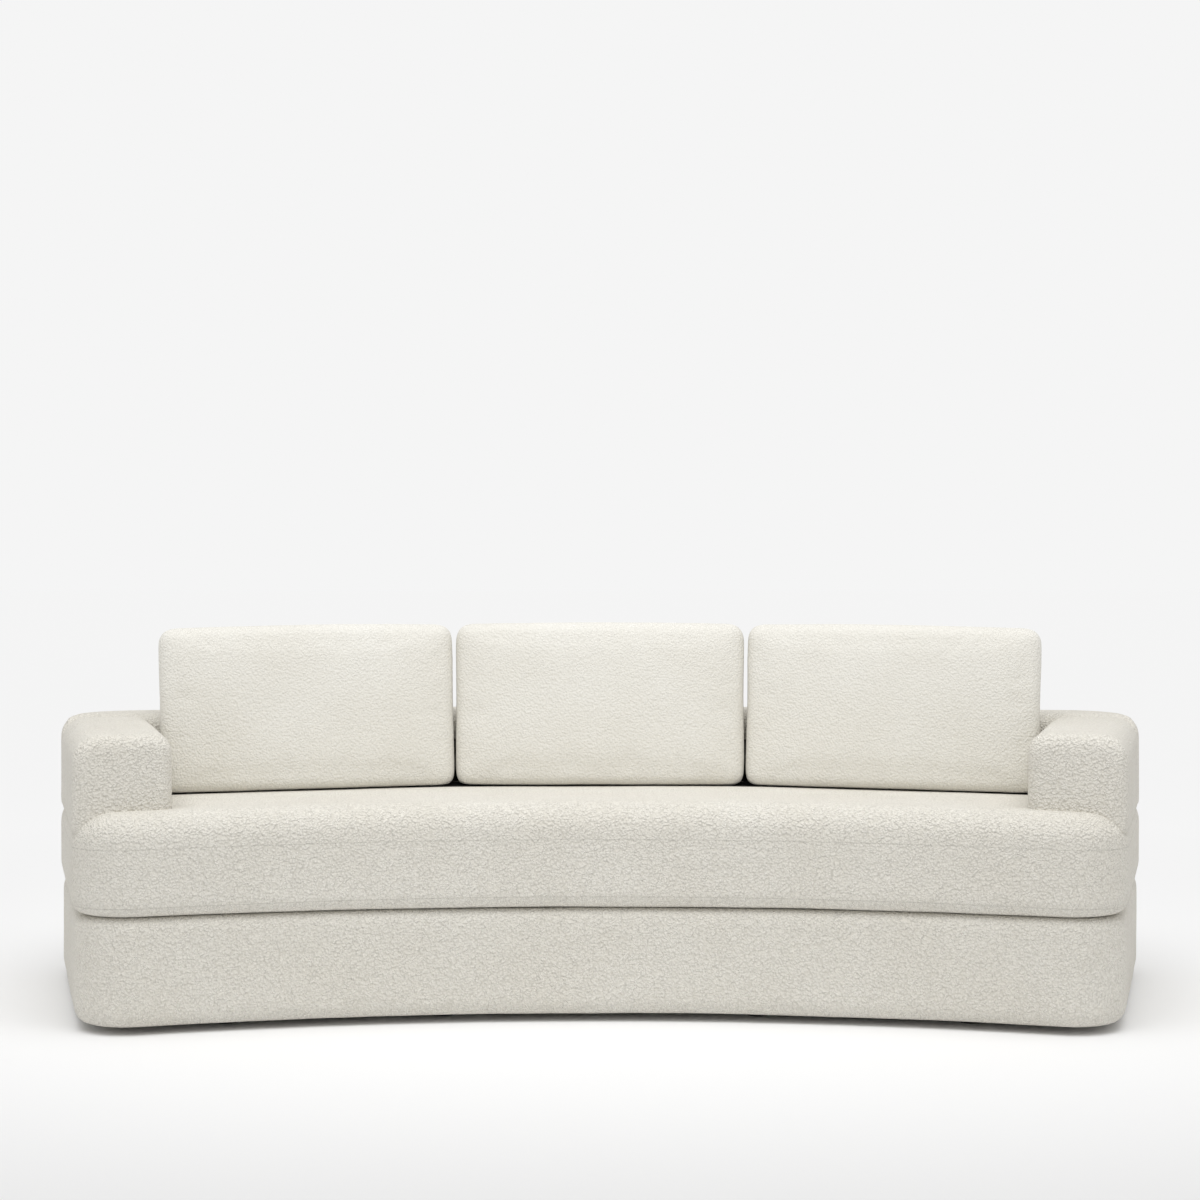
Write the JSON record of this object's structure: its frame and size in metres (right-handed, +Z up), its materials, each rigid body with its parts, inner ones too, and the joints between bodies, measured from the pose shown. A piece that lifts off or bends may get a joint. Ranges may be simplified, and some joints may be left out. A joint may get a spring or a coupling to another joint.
{
  "type": "curved sofa",
  "caption": "Low curved sofa with splayed block arms, a deep bench seat on a plinth base and loose back cushions, covered in nubby cream cloth.",
  "frame": {"origin": "on the floor, at the middle of the footprint", "axes": "+X to the right seen from the front, +Y from the front edge to the back, +Z up"},
  "size_m": [2.603, 1.093, 0.8531],
  "materials": {
    "boucle": "cream nubby loop-pile upholstery cloth",
    "black_cloth": "thin black non-woven lining cloth",
    "foam": "cut polyurethane foam",
    "fibre_fill": "foam core wrapped in fibre",
    "plywood": "birch plywood, unfinished",
    "hardwood": "planed hardwood",
    "elastic_strap": "woven elastic webbing",
    "zinc_steel": "zinc-plated steel",
    "glide_plastic": "black moulded plastic",
    "zip_tape": "cream woven zip tape",
    "zip_metal": "cast zip slider"
  },
  "bodies": {
    "sofa": {"arm_cover_left": "boucle", "arm_cover_right": "boucle", "arm_foam_left": "foam", "arm_foam_right": "foam", "arm_front_board_left": "plywood", "arm_front_board_right": "plywood", "arm_inner_panel_left": "plywood", "arm_inner_panel_right": "plywood", "arm_outer_panel_left": "plywood", "arm_outer_panel_right": "plywood", "arm_posts_left": "hardwood", "arm_posts_right": "hardwood", "arm_top_board_left": "plywood", "arm_top_board_right": "plywood", "back_cover": "boucle", "back_foam": "foam", "back_lining": "black_cloth", "back_low_rail": "plywood", "back_ribs": "plywood", "back_top_rail": "plywood", "back_webbing": "elastic_strap", "base_back_rail": "plywood", "base_corner_blocks": "hardwood", "base_cover": "boucle", "base_cross_rails": "plywood", "base_end_rail_left": "plywood", "base_end_rail_right": "plywood", "base_front_rail": "plywood", "base_wadding": "foam", "deck_cloth": "black_cloth", "deck_lining": "black_cloth", "dust_cover": "black_cloth", "glide_feet": "glide_plastic", "glide_screws": "zinc_steel", "seat_back_rail": "hardwood", "seat_bolts": "zinc_steel", "seat_cover": "boucle", "seat_cross_straps": "elastic_strap", "seat_end_rail_left": "hardwood", "seat_end_rail_right": "hardwood", "seat_foam": "foam", "seat_front_rail": "hardwood", "seat_spacers": "hardwood", "seat_straps": "elastic_strap", "seat_stretchers": "hardwood"},
    "cushion_left": {"cushion_cover_left": "boucle", "cushion_fill_left": "fibre_fill", "cushion_zip_left": "zip_tape"},
    "zip_slider_left": {"cushion_zip_slider_left": "zip_metal"},
    "cushion_middle": {"cushion_cover_middle": "boucle", "cushion_fill_middle": "fibre_fill", "cushion_zip_middle": "zip_tape"},
    "zip_slider_middle": {"cushion_zip_slider_middle": "zip_metal"},
    "cushion_right": {"cushion_cover_right": "boucle", "cushion_fill_right": "fibre_fill", "cushion_zip_right": "zip_tape"},
    "zip_slider_right": {"cushion_zip_slider_right": "zip_metal"}
  },
  "joints": [
    {"name": "cushion_lift_left", "type": "slide", "parent": "sofa", "child": "cushion_left", "axis": [0, 0, 1], "range_m": [0, 0.45]},
    {"name": "zip_slide_left", "type": "slide", "parent": "cushion_left", "child": "zip_slider_left", "axis": [0.9826, 0.1852, 0.0125], "range_m": [0, 0.512]},
    {"name": "cushion_lift_middle", "type": "slide", "parent": "sofa", "child": "cushion_middle", "axis": [0, 0, 1], "range_m": [0, 0.45]},
    {"name": "zip_slide_middle", "type": "slide", "parent": "cushion_middle", "child": "zip_slider_middle", "axis": [1, 0, 0], "range_m": [0, 0.512]},
    {"name": "cushion_lift_right", "type": "slide", "parent": "sofa", "child": "cushion_right", "axis": [0, 0, 1], "range_m": [0, 0.45]},
    {"name": "zip_slide_right", "type": "slide", "parent": "cushion_right", "child": "zip_slider_right", "axis": [0.9826, -0.1852, -0.0125], "range_m": [0, 0.512]}
  ]
}
